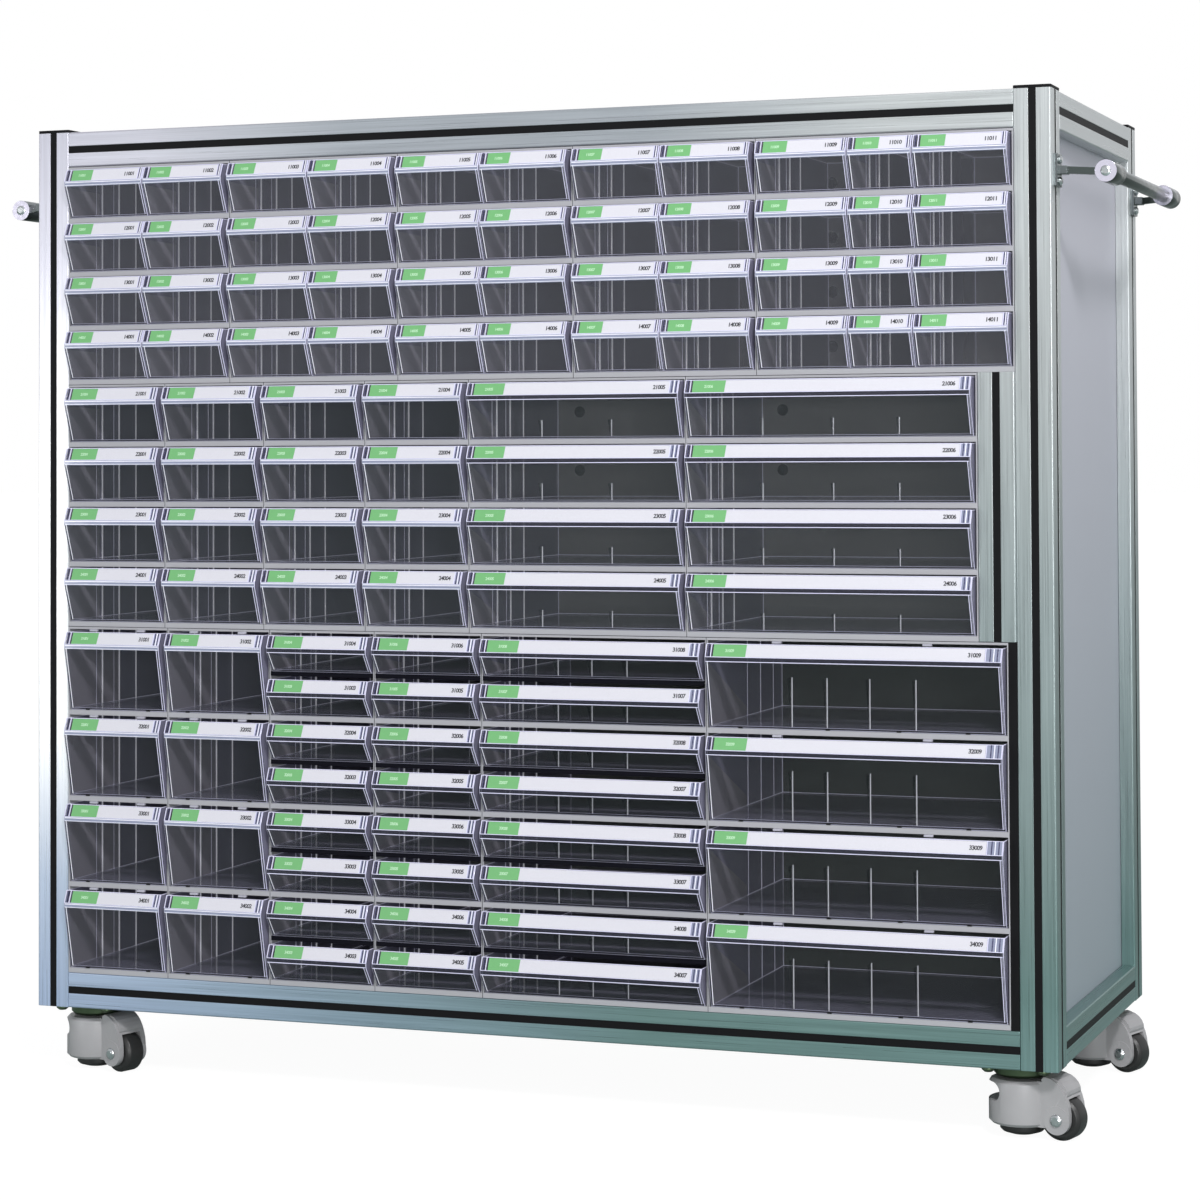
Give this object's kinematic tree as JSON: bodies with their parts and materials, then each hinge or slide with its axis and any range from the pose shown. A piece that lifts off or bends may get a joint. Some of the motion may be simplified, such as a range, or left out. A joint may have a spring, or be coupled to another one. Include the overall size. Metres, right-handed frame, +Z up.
{
  "type": "parts bin cabinet",
  "caption": "Wheeled parts cabinet: slotted aluminium frame, three tiers of clear pull-out bins with slanted label faces, end handles and levelling casters.",
  "frame": {"origin": "on the floor under the middle of the whole part's bounding box", "axes": "+X along the front to the right as seen from the front, +Y from front to back, +Z up"},
  "size_m": [1.309, 0.455, 1.0782],
  "materials": {
    "aluminium_frame": "satin anodised",
    "black_trim": "matt",
    "panel": "smooth",
    "grey_housing": "smooth",
    "clear_drawer": "clear",
    "chrome_metal": "polished",
    "zinc_metal": "plated",
    "dark_steel": "satin",
    "caster_grey": "satin",
    "black_rubber": "satin",
    "red_plastic": "satin"
  },
  "bodies": {
    "cabinet": {"corner_posts": "aluminium_frame", "long_rails": "aluminium_frame", "end_rails": "aluminium_frame", "filler_profile": "aluminium_frame", "slot_covers": "black_trim", "post_caps": "black_trim", "end_panels": "panel", "back_panel": "panel", "top_panel": "panel", "floor_panel": "panel", "floor_bearers": "grey_housing", "top_housing": "grey_housing", "middle_housing": "grey_housing", "low_housing": "grey_housing", "end_strip": "black_trim", "handle_brackets": "chrome_metal", "handle_sockets": "chrome_metal", "handle_tubes": "chrome_metal", "handle_screws": "zinc_metal", "caster_plates": "dark_steel", "caster_bolts": "zinc_metal"},
    "low_fourth_row_drawers": {"low_fourth_row_drawers": "clear_drawer"},
    "low_third_row_drawers": {"low_third_row_drawers": "clear_drawer"},
    "low_tall_drawer": {"low_tall_drawer": "clear_drawer"},
    "low_second_row_drawers": {"low_second_row_drawers": "clear_drawer"},
    "low_first_row_drawers": {"low_first_row_drawers": "clear_drawer"},
    "low_wide_drawer": {"low_wide_drawer": "clear_drawer"},
    "middle_fourth_row_drawers": {"middle_fourth_row_drawers": "clear_drawer"},
    "middle_third_row_drawers": {"middle_third_row_drawers": "clear_drawer"},
    "middle_second_row_drawers": {"middle_second_row_drawers": "clear_drawer"},
    "middle_medium_drawer": {"middle_medium_drawer": "clear_drawer"},
    "middle_narrow_drawer": {"middle_narrow_drawer": "clear_drawer"},
    "middle_first_row_drawers": {"middle_first_row_drawers": "clear_drawer"},
    "middle_wide_drawer": {"middle_wide_drawer": "clear_drawer"},
    "top_fourth_row_drawers": {"top_fourth_row_drawers": "clear_drawer"},
    "top_third_row_drawers": {"top_third_row_drawers": "clear_drawer"},
    "top_second_row_drawers": {"top_second_row_drawers": "clear_drawer"},
    "top_first_row_drawers": {"top_first_row_drawers": "clear_drawer"},
    "top_mini_drawer": {"top_mini_drawer": "clear_drawer"},
    "top_right_drawer": {"top_right_drawer": "clear_drawer"},
    "front_left_caster": {"front_left_caster_body": "caster_grey", "front_left_axle": "zinc_metal"},
    "front_left_wheel": {"front_left_wheel": "black_rubber"},
    "front_left_levelling_foot": {"front_left_levelling_foot": "black_rubber"},
    "front_left_dial": {"front_left_dial": "red_plastic"},
    "front_right_caster": {"front_right_caster_body": "caster_grey", "front_right_axle": "zinc_metal"},
    "front_right_wheel": {"front_right_wheel": "black_rubber"},
    "front_right_levelling_foot": {"front_right_levelling_foot": "black_rubber"},
    "front_right_dial": {"front_right_dial": "red_plastic"},
    "back_left_caster": {"back_left_caster_body": "caster_grey", "back_left_axle": "zinc_metal"},
    "back_left_wheel": {"back_left_wheel": "black_rubber"},
    "back_left_levelling_foot": {"back_left_levelling_foot": "black_rubber"},
    "back_left_dial": {"back_left_dial": "red_plastic"},
    "back_right_caster": {"back_right_caster_body": "caster_grey", "back_right_axle": "zinc_metal"},
    "back_right_wheel": {"back_right_wheel": "black_rubber"},
    "back_right_levelling_foot": {"back_right_levelling_foot": "black_rubber"},
    "back_right_dial": {"back_right_dial": "red_plastic"}
  },
  "joints": [
    {"name": "low_fourth_row_drawers_slide", "type": "slide", "parent": "cabinet", "child": "low_fourth_row_drawers", "axis": [0, -1, 0], "range_m": [0, 0.2]},
    {"name": "low_third_row_drawers_slide", "type": "slide", "parent": "cabinet", "child": "low_third_row_drawers", "axis": [0, -1, 0], "range_m": [0, 0.2]},
    {"name": "low_tall_drawer_slide", "type": "slide", "parent": "cabinet", "child": "low_tall_drawer", "axis": [0, -1, 0], "range_m": [0, 0.2]},
    {"name": "low_second_row_drawers_slide", "type": "slide", "parent": "cabinet", "child": "low_second_row_drawers", "axis": [0, -1, 0], "range_m": [0, 0.2]},
    {"name": "low_first_row_drawers_slide", "type": "slide", "parent": "cabinet", "child": "low_first_row_drawers", "axis": [0, -1, 0], "range_m": [0, 0.2]},
    {"name": "low_wide_drawer_slide", "type": "slide", "parent": "cabinet", "child": "low_wide_drawer", "axis": [0, -1, 0], "range_m": [0, 0.2]},
    {"name": "middle_fourth_row_drawers_slide", "type": "slide", "parent": "cabinet", "child": "middle_fourth_row_drawers", "axis": [0, -1, 0], "range_m": [0, 0.2]},
    {"name": "middle_third_row_drawers_slide", "type": "slide", "parent": "cabinet", "child": "middle_third_row_drawers", "axis": [0, -1, 0], "range_m": [0, 0.2]},
    {"name": "middle_second_row_drawers_slide", "type": "slide", "parent": "cabinet", "child": "middle_second_row_drawers", "axis": [0, -1, 0], "range_m": [0, 0.2]},
    {"name": "middle_medium_drawer_slide", "type": "slide", "parent": "cabinet", "child": "middle_medium_drawer", "axis": [0, -1, 0], "range_m": [0, 0.2]},
    {"name": "middle_narrow_drawer_slide", "type": "slide", "parent": "cabinet", "child": "middle_narrow_drawer", "axis": [0, -1, 0], "range_m": [0, 0.2]},
    {"name": "middle_first_row_drawers_slide", "type": "slide", "parent": "cabinet", "child": "middle_first_row_drawers", "axis": [0, -1, 0], "range_m": [0, 0.2]},
    {"name": "middle_wide_drawer_slide", "type": "slide", "parent": "cabinet", "child": "middle_wide_drawer", "axis": [0, -1, 0], "range_m": [0, 0.2]},
    {"name": "top_fourth_row_drawers_slide", "type": "slide", "parent": "cabinet", "child": "top_fourth_row_drawers", "axis": [0, -1, 0], "range_m": [0, 0.2]},
    {"name": "top_third_row_drawers_slide", "type": "slide", "parent": "cabinet", "child": "top_third_row_drawers", "axis": [0, -1, 0], "range_m": [0, 0.2]},
    {"name": "top_second_row_drawers_slide", "type": "slide", "parent": "cabinet", "child": "top_second_row_drawers", "axis": [0, -1, 0], "range_m": [0, 0.2]},
    {"name": "top_first_row_drawers_slide", "type": "slide", "parent": "cabinet", "child": "top_first_row_drawers", "axis": [0, -1, 0], "range_m": [0, 0.2]},
    {"name": "top_mini_drawer_slide", "type": "slide", "parent": "cabinet", "child": "top_mini_drawer", "axis": [0, -1, 0], "range_m": [0, 0.2]},
    {"name": "top_right_drawer_slide", "type": "slide", "parent": "cabinet", "child": "top_right_drawer", "axis": [0, -1, 0], "range_m": [0, 0.2]},
    {"name": "front_left_swivel", "type": "hinge", "parent": "cabinet", "child": "front_left_caster", "pos_m": [-0.546, -0.1635, 0.064], "axis": [0, 0, 1], "continuous": true},
    {"name": "front_left_wheel_spin", "type": "hinge", "parent": "front_left_caster", "child": "front_left_wheel", "pos_m": [-0.50183, -0.17958, 0.0225], "axis": [0.342, 0.9397, 0], "continuous": true},
    {"name": "front_left_dial_turn", "type": "hinge", "parent": "front_left_caster", "child": "front_left_dial", "pos_m": [-0.546, -0.1635, 0.051], "axis": [0, 0, -1], "range_deg": [0, 1440]},
    {"name": "front_left_foot_travel", "type": "slide", "parent": "front_left_caster", "child": "front_left_levelling_foot", "axis": [0, 0, -1], "range_m": [0, 0.008]},
    {"name": "front_right_swivel", "type": "hinge", "parent": "cabinet", "child": "front_right_caster", "pos_m": [0.546, -0.1635, 0.064], "axis": [0, 0, 1], "continuous": true},
    {"name": "front_right_wheel_spin", "type": "hinge", "parent": "front_right_caster", "child": "front_right_wheel", "pos_m": [0.59179, -0.17407, 0.0225], "axis": [0.225, 0.9744, 0], "continuous": true},
    {"name": "front_right_dial_turn", "type": "hinge", "parent": "front_right_caster", "child": "front_right_dial", "pos_m": [0.546, -0.1635, 0.051], "axis": [0, 0, -1], "range_deg": [0, 1440]},
    {"name": "front_right_foot_travel", "type": "slide", "parent": "front_right_caster", "child": "front_right_levelling_foot", "axis": [0, 0, -1], "range_m": [0, 0.008]},
    {"name": "back_left_swivel", "type": "hinge", "parent": "cabinet", "child": "back_left_caster", "pos_m": [-0.546, 0.1785, 0.064], "axis": [0, 0, 1], "continuous": true},
    {"name": "back_left_wheel_spin", "type": "hinge", "parent": "back_left_caster", "child": "back_left_wheel", "pos_m": [-0.5004, 0.18987, 0.0225], "axis": [-0.2419, 0.9703, 0], "continuous": true},
    {"name": "back_left_dial_turn", "type": "hinge", "parent": "back_left_caster", "child": "back_left_dial", "pos_m": [-0.546, 0.1785, 0.051], "axis": [0, 0, -1], "range_deg": [0, 1440]},
    {"name": "back_left_foot_travel", "type": "slide", "parent": "back_left_caster", "child": "back_left_levelling_foot", "axis": [0, 0, -1], "range_m": [0, 0.008]},
    {"name": "back_right_swivel", "type": "hinge", "parent": "cabinet", "child": "back_right_caster", "pos_m": [0.546, 0.1785, 0.064], "axis": [0, 0, 1], "continuous": true},
    {"name": "back_right_wheel_spin", "type": "hinge", "parent": "back_right_caster", "child": "back_right_wheel", "pos_m": [0.5907, 0.16398, 0.0225], "axis": [0.309, 0.9511, 0], "continuous": true},
    {"name": "back_right_dial_turn", "type": "hinge", "parent": "back_right_caster", "child": "back_right_dial", "pos_m": [0.546, 0.1785, 0.051], "axis": [0, 0, -1], "range_deg": [0, 1440]},
    {"name": "back_right_foot_travel", "type": "slide", "parent": "back_right_caster", "child": "back_right_levelling_foot", "axis": [0, 0, -1], "range_m": [0, 0.008]}
  ],
  "couplings": [
    {"joint": "front_left_foot_travel", "follows": "front_left_dial_turn", "m_per_rad": 0.000318},
    {"joint": "front_right_foot_travel", "follows": "front_right_dial_turn", "m_per_rad": 0.000318},
    {"joint": "back_left_foot_travel", "follows": "back_left_dial_turn", "m_per_rad": 0.000318},
    {"joint": "back_right_foot_travel", "follows": "back_right_dial_turn", "m_per_rad": 0.000318}
  ]
}
